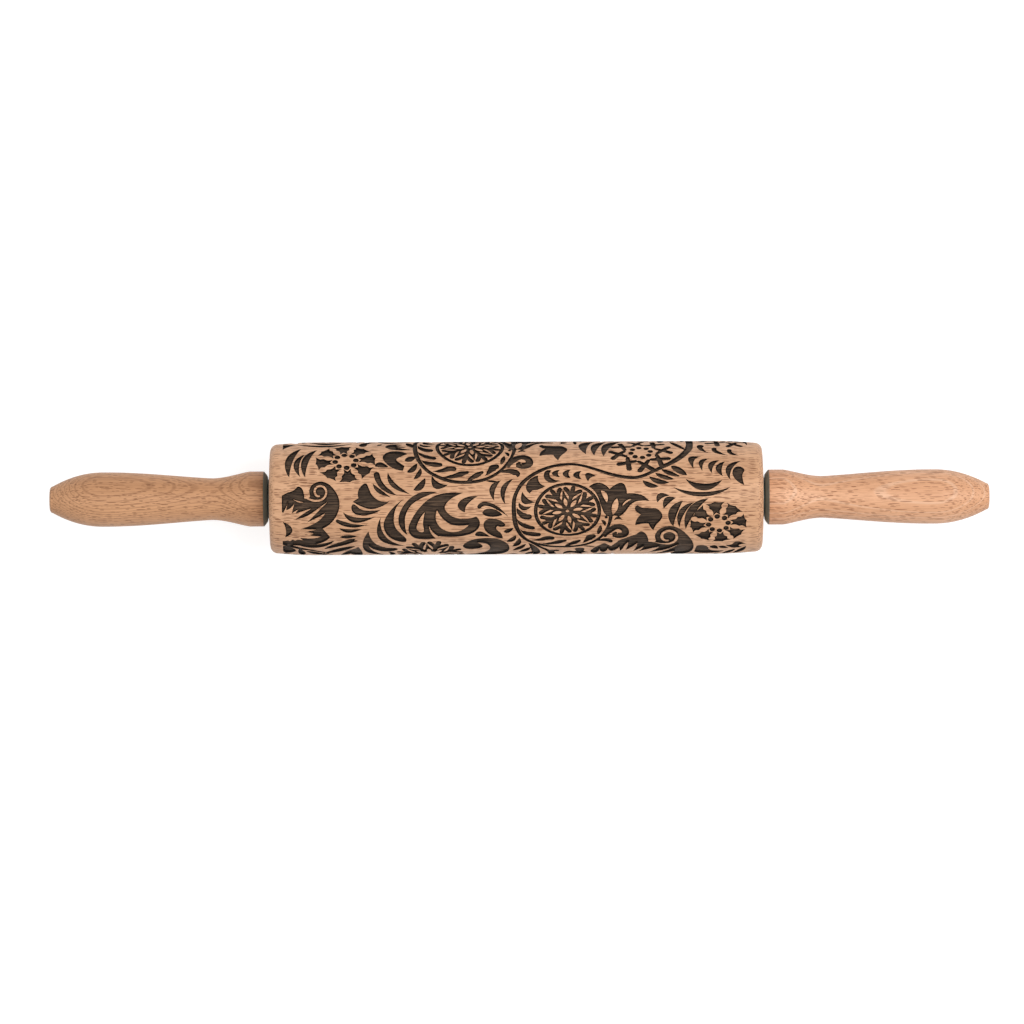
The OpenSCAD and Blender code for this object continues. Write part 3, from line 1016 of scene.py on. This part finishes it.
def joined_ends(co, tri):
    """Makes the two long edges of the sheet one, so that the sheet closes into a tube."""
    half = GIRTH / 2
    low = np.nonzero(np.abs(co[:, 1] + half) < 1e-3)[0]
    high = np.nonzero(np.abs(co[:, 1] - half) < 1e-3)[0]
    low = low[np.argsort(co[low, 0])]
    same = np.arange(len(co))
    for v in high:
        k = np.searchsorted(co[low, 0], co[v, 0])
        near = [c for c in (k - 1, k) if 0 <= c < len(low)]
        best = min(near, key=lambda c: abs(co[low[c], 0] - co[v, 0]))
        if abs(co[low[best], 0] - co[v, 0]) < 0.02:
            same[v] = low[best]
    return same[tri]


def rolled(x, y, depth):
    """Places on the barrel, and the normals there, in mm, for places on the sheet."""
    r = barrel_radius(x) - depth
    a = y / BARREL_R
    place = np.stack([x, r * np.sin(a), r * np.cos(a)], 1)
    slope = barrel_slope(x)
    normal = np.stack([-slope, np.sin(a), np.cos(a)], 1)
    return place, normal / np.linalg.norm(normal, axis=1)[:, None]


def floor_moves(co, tri, walls):
    """How far each point of a wall's foot goes inwards, so that the walls lean. A move is
    cut down where it would turn a triangle of the floor over."""
    push = np.zeros_like(co)
    a, b = walls[:, 0], walls[:, 1]
    along = co[b] - co[a]
    along[:, 1] = (along[:, 1] + GIRTH / 2) % GIRTH - GIRTH / 2
    size = np.linalg.norm(along, axis=1)[:, None]
    normal = np.stack([-along[:, 1], along[:, 0]], 1) / np.maximum(size, 1e-9)
    np.add.at(push, a, normal)
    np.add.at(push, b, normal)
    length = np.linalg.norm(push, axis=1)[:, None]
    push = np.where(length > 0.3, push / np.maximum(length, 1e-9), 0.0) * WALL_LEAN
    p = co[tri].copy()
    span = p[:, :, 1].max(1) - p[:, :, 1].min(1) > GIRTH / 2
    p[span, :, 1] = p[span, :, 1] % GIRTH

    def areas(q):
        return np.cross(q[:, 1] - q[:, 0], q[:, 2] - q[:, 0])

    first = areas(p)
    for _ in range(10):
        bad = areas(p + push[tri]) < 0.25 * first
        if not bad.any():
            break
        push[np.unique(tri[bad])] *= 0.5
    push[np.unique(tri[areas(p + push[tri]) < 0.1 * first])] = 0.0
    return push


def wall_edges(land, floor):
    """The edges between a land triangle and an engraved one, the engraved side on the left."""
    engraved = {(int(t[i]), int(t[(i + 1) % 3])) for t in floor for i in range(3)}
    edges = [(int(t[(i + 1) % 3]), int(t[i])) for t in land for i in range(3)]
    return np.array([edge for edge in edges if edge in engraved])


def engraved_barrel():
    """The barrel's mesh. Its material slots are 0 for wood, 1 for floors, 2 for walls."""
    co, tri, engraved = flat_sheet()
    tri = joined_ends(co, tri)
    land, floor = tri[~engraved], tri[engraved]
    walls = wall_edges(land, floor)
    moves = floor_moves(co, floor, walls)
    top, top_normal = rolled(co[:, 0], co[:, 1], 0.0)
    foot, foot_normal = rolled(co[:, 0] + moves[:, 0], co[:, 1] + moves[:, 1], ENGRAVED_DEPTH)
    count = len(co)
    places = [top, foot]
    faces = [list(t) for t in land] + [list(t + count) for t in floor]
    faces += [[a, b, b + count, a + count] for a, b in walls]
    slots = [0] * len(land) + [1] * len(floor) + [2] * len(walls)

    # Turned ends: rounded edge, end face, bores and the hole through the barrel.
    limit = FACE_X - EDGE_R
    ring = arc(limit, END_R - EDGE_R, EDGE_R, 0, 90, 12)[1:]
    ring += [(FACE_X, 15.0), (FACE_X, BORE_R + 0.2), (FACE_X - 0.2, BORE_R), (FACE_X - BORE_L, BORE_R)]
    ring += [(FACE_X - BORE_L, HOLE_R)]
    start = 2 * count
    turn = np.arange(ROUND_STEPS) * 2 * math.pi / ROUND_STEPS - math.pi
    following = [(k, (k + 1) % ROUND_STEPS) for k in range(ROUND_STEPS)]
    last_rings = []
    for side in (-1, 1):
        rim = np.nonzero(np.abs(co[:, 0] - side * limit) < 1e-3)[0]
        rim = rim[co[rim, 1] < GIRTH / 2 - 0.01]
        before = rim[np.argsort(co[rim, 1])]
        for x, r in ring:
            places.append(np.stack([np.full(ROUND_STEPS, side * x), r * np.sin(turn), r * np.cos(turn)], 1))
            here = np.arange(start, start + ROUND_STEPS)
            start += ROUND_STEPS
            for k, j in following:
                face = [before[k], here[k], here[j], before[j]]
                faces.append(face if side > 0 else face[::-1])
            before = here
        last_rings.append(before)
    left, right = last_rings
    faces += [[left[k], left[j], right[j], right[k]] for k, j in following]
    slots += [0] * (len(faces) - len(slots))

    places = np.concatenate(places)
    used = np.unique(np.concatenate([np.asarray(f) for f in faces]))
    new = np.full(len(places), -1)
    new[used] = np.arange(len(used))
    mesh = bpy.data.meshes.new("barrel_engraved")
    mesh.from_pydata([tuple(p) for p in places[used] * MM], [], [[int(new[v]) for v in f] for f in faces])
    mesh.polygons.foreach_set("material_index", np.array(slots, np.int32))
    mesh.shade_smooth()

    # Exact normals on the land and the floor; the mesh's own ones elsewhere.
    flat = 3 * (len(land) + len(floor))
    corners = np.zeros(len(mesh.loops), np.int32)
    mesh.loops.foreach_get("vertex_index", corners)
    mesh.set_sharp_from_angle(angle=WALL_ANGLE)
    normals = np.zeros(len(mesh.loops) * 3, np.float32)
    mesh.corner_normals.foreach_get("vector", normals)
    normals = normals.reshape(-1, 3)
    exact = np.zeros((len(places), 3))
    exact[:count], exact[count:2 * count] = top_normal, foot_normal
    normals[:flat] = exact[used][corners[:flat]]
    mesh.normals_split_custom_set([tuple(n) for n in normals])
    mesh.update()
    return mesh


# ---------------------------------------------------------------------------
# Materials.
# ---------------------------------------------------------------------------
def linear(r, g, b):
    """A colour given in 0-255 sRGB, as linear light."""
    out = []
    for c in (r, g, b):
        c = c / 255
        out.append(c / 12.92 if c <= 0.04045 else ((c + 0.055) / 1.055) ** 2.4)
    return (*out, 1.0)


SHADER_INPUTS = {
    "colour": "Base Color", "rough": "Roughness", "metal": "Metallic", "specular": "Specular IOR Level",
}


class Nodes:
    """A small helper that adds nodes to a material and links them."""

    def __init__(self, name):
        self.material = bpy.data.materials.new(name)
        self.material.use_nodes = True
        self.tree = self.material.node_tree
        self.shader = self.tree.nodes["Principled BSDF"]
        coords = self.tree.nodes.new("ShaderNodeTexCoord")
        self.object = coords.outputs["Object"]

    def put(self, socket, value):
        if isinstance(value, bpy.types.NodeSocket):
            self.tree.links.new(value, socket)
        else:
            socket.default_value = value

    def add(self, kind, **inputs):
        """A new node, with its inputs named by their labels in lower case."""
        node = self.tree.nodes.new("ShaderNode" + kind)
        for key, value in inputs.items():
            self.put(node.inputs[key.replace("_", " ").title()], value)
        return node

    def mapped(self, scale, location=(0, 0, 0), rotation=(0, 0, 0)):
        node = self.add("Mapping", vector=self.object, location=location, rotation=rotation, scale=scale)
        return node.outputs["Vector"]

    def noise(self, vector, detail, rough=0.5):
        node = self.add("TexNoise", vector=vector, scale=1.0, detail=detail, roughness=rough)
        return node.outputs["Fac"]

    def cells(self, vector):
        node = self.add("TexVoronoi", vector=vector, scale=1.0)
        return node.outputs["Distance"], node.outputs["Color"]

    def math(self, kind, a, b=0.0, c=0.0):
        node = self.add("Math")
        node.operation = kind
        for socket, value in zip(node.inputs, (a, b, c)):
            self.put(socket, value)
        return node.outputs["Value"]

    def span(self, value, low, high, to_low=0.0, to_high=1.0):
        """The value, taken smoothly from low..high to to_low..to_high."""
        node = self.add("MapRange", value=value, from_min=low, from_max=high, to_min=to_low, to_max=to_high)
        node.interpolation_type = "SMOOTHSTEP"
        return node.outputs["Result"]

    def mix(self, share, a, b):
        """Two colours, mixed. The node's inputs 0, 6 and 7 are the ones for colours."""
        node = self.add("Mix")
        node.data_type = "RGBA"
        for place, value in ((0, share), (6, a), (7, b)):
            self.put(node.inputs[place], value)
        return node.outputs[2]

    def split(self, vector):
        return self.add("SeparateXYZ", vector=vector).outputs

    def bump(self, height, strength, distance):
        node = self.add("Bump", height=height, strength=strength, distance=distance)
        self.put(self.shader.inputs["Normal"], node.outputs["Normal"])

    def set(self, **values):
        for key, value in values.items():
            self.put(self.shader.inputs[SHADER_INPUTS[key]], value)
        return self.material


def beech(name, light, dark, fleck, pith, ring, sway_share, fleck_size, fleck_depth, ring_gap=0.0024,
          ring_share=0.25, ring_edge=0.55, sway_size=7.0, fleck_share=0.26, lean=0.0, offset=0.0):
    """Turned beech with its grain along X: growth rings round a pith beside the piece,
    fine fibres, and the short dark flecks that mark this wood."""
    n = Nodes(name)
    turn = (0.0, 0.0, lean)
    # Growth rings: distance from the pith line, bent a little by slow noise.
    sway = n.noise(n.mapped((sway_size, 26.0, 26.0), location=(3.1 + offset, 0.4, 1.7)), detail=2.0)
    _, y, z = n.split(n.object)
    dy, dz = n.math("SUBTRACT", y, pith[0]), n.math("SUBTRACT", z, pith[1])
    reach = n.math("SQRT", n.math("ADD", n.math("MULTIPLY", dy, dy), n.math("MULTIPLY", dz, dz)))
    phase = n.math("MULTIPLY_ADD", reach, 2 * math.pi / ring_gap, n.math("MULTIPLY", sway, sway_share))
    wave = n.math("MULTIPLY_ADD", n.math("SINE", phase), 0.5, 0.5)
    rings = n.span(wave, ring_edge, 1.0)
    # Fibres: long fine streaks, and slow changes of tone.
    fibre = n.noise(n.mapped((60.0, 2200.0, 2200.0), (offset, 0.0, 0.0), turn), detail=3.0, rough=0.65)
    tone = n.noise(n.mapped((9.0, 75.0, 75.0), location=(5.0, 2.0 + offset, 9.0)), detail=2.0)
    # Flecks: some of many long thin cells, in two sizes.
    marks = []
    for size, share, where in (((fleck_size, 2700.0, 2700.0), fleck_share, 0),
                               ((fleck_size / 2, 2100.0, 2100.0), fleck_share * 0.4, 2)):
        spread, tint = n.cells(n.mapped(size, (offset, 3.0 + where, 1.0), turn))
        chosen = n.span(n.split(tint)[where], 1.0 - share, 1.01 - share)
        marks.append(n.math("MULTIPLY", chosen, n.span(spread, 0.4, 0.56, 1.0, 0.0)))
    marks = n.math("MAXIMUM", *marks)

    colour = n.mix(n.span(tone, 0.3, 0.7), linear(*light), linear(*dark))
    colour = n.mix(n.math("MULTIPLY", rings, ring_share), colour, linear(*ring))
    colour = n.mix(n.span(fibre, 0.4, 0.74, 0.0, 0.36), colour, linear(*fleck))
    colour = n.mix(n.math("MULTIPLY", marks, fleck_depth), colour, linear(*fleck))
    n.bump(n.math("SUBTRACT", n.math("MULTIPLY", fibre, 0.35), marks), 0.3, 0.0001)
    rough = n.span(fibre, 0.2, 0.8, 0.44, 0.58)
    return n.set(colour=colour, rough=rough, specular=0.4)


def charred(name, light, dark):
    """Wood burnt by the engraving, with the fine lines that it leaves along the barrel. In its darkest use,
    on the walls, the colour also paints the shade at the edges of the engraved shapes.
    """
    n = Nodes(name)
    lines = n.noise(n.mapped((90.0, 2500.0, 2500.0)), detail=3.0, rough=0.7)
    patches = n.noise(n.mapped((60.0, 170.0, 170.0), location=(1.0, 7.0, 4.0)), detail=3.0)
    colour = n.mix(n.span(lines, 0.42, 0.62), linear(*dark), linear(*light))
    colour = n.mix(n.span(patches, 0.35, 0.65, 0.0, 0.5), colour, linear(*dark))
    n.bump(lines, 0.6, 0.0002)
    return n.set(colour=colour, rough=n.span(lines, 0.3, 0.7, 0.85, 0.7), specular=0.2)


def plastic(name, base, worn, rough, specular=0.4):
    """Moulded plastic with a very fine grain and slightly uneven gloss."""
    n = Nodes(name)
    grain = n.noise(n.mapped((2600.0, 2600.0, 2600.0)), detail=2.0)
    cloud = n.noise(n.mapped((140.0, 140.0, 140.0), location=(3.0, 1.0, 2.0)), detail=3.0)
    colour = n.mix(n.span(cloud, 0.35, 0.7, 0.0, 0.7), linear(*base), linear(*worn))
    n.bump(grain, 0.12, 0.00005)
    return n.set(colour=colour, rough=n.span(cloud, 0.3, 0.7, rough - 0.06, rough + 0.08), specular=specular)


def steel(name):
    n = Nodes(name)
    turned = n.noise(n.mapped((9000.0, 60.0, 60.0)), detail=2.0)
    colour = n.mix(turned, linear(150, 153, 156), linear(196, 199, 202))
    n.bump(turned, 0.1, 0.00003)
    return n.set(colour=colour, rough=n.span(turned, 0.3, 0.7, 0.25, 0.4), metal=1.0)


# ---------------------------------------------------------------------------
# The pieces.
# ---------------------------------------------------------------------------
barrel_wood = beech(
    "barrel_wood", (219, 171, 133), (204, 156, 118), (116, 70, 40), (-0.055, -0.075), (168, 120, 84),
    sway_share=24.0, fleck_share=0.3, fleck_size=250.0, fleck_depth=0.78)
# The left handle's wood is darker and the right one's lighter. This is partly a real difference in wood tone
# and partly painted shade on the left and painted light on the right, as if lit more from the right.
left_wood_painted_shade = beech(
    "left_wood_painted_shade", (210, 157, 115), (192, 140, 99), (112, 68, 38), (-0.0145, -0.0235), (118, 74, 44),
    ring_gap=0.0009, ring_share=0.34, ring_edge=0.72, sway_share=8.0, sway_size=45.0,
    fleck_share=0.2, fleck_size=420.0, fleck_depth=0.62, lean=-0.04, offset=3.7)
right_wood_painted_light = beech(
    "right_wood_painted_light", (228, 175, 137), (212, 157, 118), (136, 82, 48), (-0.0094, -0.0349), (246, 216, 190),
    ring_share=0.22, ring_edge=0.86, sway_share=5.0,
    fleck_size=270.0, fleck_depth=0.75, lean=-0.11, offset=8.2)
char_floor = charred("char_floor", (98, 77, 60), (40, 30, 23))
# The walls' near-black colour is partly the real char of the engraving and partly painted shade, which
# darkens the outline of every engraved shape.
char_wall_and_painted_shade = charred("char_wall_and_painted_shade", (34, 24, 18), (20, 14, 11))
collar_black = plastic("collar_black", (108, 118, 112), (124, 133, 126), 0.42)
bush_green = plastic("bush_green", (84, 100, 92), (100, 114, 106), 0.4)
washer_black = plastic("washer_black", (22, 34, 32), (36, 50, 47), 0.18, 0.6)
axle_steel = steel("axle_steel")

barrel = new_object("barrel_engraved", engraved_barrel(), "roller", ["barrel"])
for material in (barrel_wood, char_floor, char_wall_and_painted_shade):
    barrel.data.materials.append(material)

left_l = (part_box("handle_left")[1].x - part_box("handle_left")[0].x) / MM
right_l = (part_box("handle_right")[1].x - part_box("handle_right")[0].x) / MM
for side, word, length, wood in ((-1, "left", left_l, left_wood_painted_shade), (1, "right", right_l, right_wood_painted_light)):
    turned = (
        ("handle", handle_profile(length), "handle_set", "handle_beech", wood),
        ("collar", collar_profile(), "handle_set", "collar_plastic", collar_black),
        ("thrust_washer", washer_profile(), "handle_set", "washer_black", washer_black),
        ("bush", bush_profile(), "roller", "bush_plastic", bush_green),
    )
    for node, profile, body, slot, material in turned:
        name = f"{node}_{word}"
        piece = new_object(f"{name}_turned", lathe(name, profile, side), body, [name])
        piece.data.materials.append(material)

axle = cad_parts["axle"]
axle.data.materials.clear()
axle.data.materials.append(axle_steel)

# ---------------------------------------------------------------------------
# Floor, light and camera.
# ---------------------------------------------------------------------------
WHITE = (1.0, 1.0, 1.0, 1.0)
FLOOR_Z = -BARREL_R * MM
FLOOR_HALF = 6.0
floor_mesh = bpy.data.meshes.new("floor")
floor_corners = [(x * FLOOR_HALF, y * FLOOR_HALF, FLOOR_Z) for x, y in ((-1, -1), (1, -1), (1, 1), (-1, 1))]
floor_mesh.from_pydata(floor_corners, [], [(0, 1, 2, 3)])
floor = bpy.data.objects.new("floor", floor_mesh)
scene.collection.objects.link(floor)
floor.visible_diffuse = False
paper = Nodes("paper")
paper.set(colour=(0.5, 0.5, 0.5, 1.0), rough=0.9, specular=0.1)
paper.shader.inputs["Emission Color"].default_value = WHITE
paper.shader.inputs["Emission Strength"].default_value = 0.72
floor_mesh.materials.append(paper.material)

world = bpy.data.worlds.new("studio")
scene.world = world
world.use_nodes = True
background = world.node_tree.nodes["Background"]
background.inputs["Color"].default_value = WHITE
background.inputs["Strength"].default_value = 0.62


def soft_light(name, place, size, power):
    """A square soft light at a place in metres, aimed at the pin's middle."""
    data = bpy.data.lights.new(name, "AREA")
    data.shape = "SQUARE"
    data.size = size
    data.energy = power
    obj = bpy.data.objects.new(name, data)
    obj.location = place
    obj.rotation_euler = (-Vector(place)).to_track_quat("-Z", "Y").to_euler()
    scene.collection.objects.link(obj)


soft_light("key", (0.75, 0.12, 1.25), 0.8, 12.5)
soft_light("fill", (-0.6, 0.1, 1.4), 1.2, 2.5)

scene.view_settings.view_transform = "Standard"

# A long lens, 3.2 m above the pin, a little off its middle and turned a little.
camera_data = bpy.data.cameras.new("camera")
camera_data.lens = 245.7
camera_data.sensor_width = 36.0
camera_data.clip_start = 0.05
camera_data.clip_end = 50.0
camera = bpy.data.objects.new("camera", camera_data)
camera.location = (-1.95 * MM, -6.4 * MM, 3.2)
camera.rotation_euler = (0.0, 0.0, math.radians(-0.22))
scene.collection.objects.link(camera)
scene.camera = camera
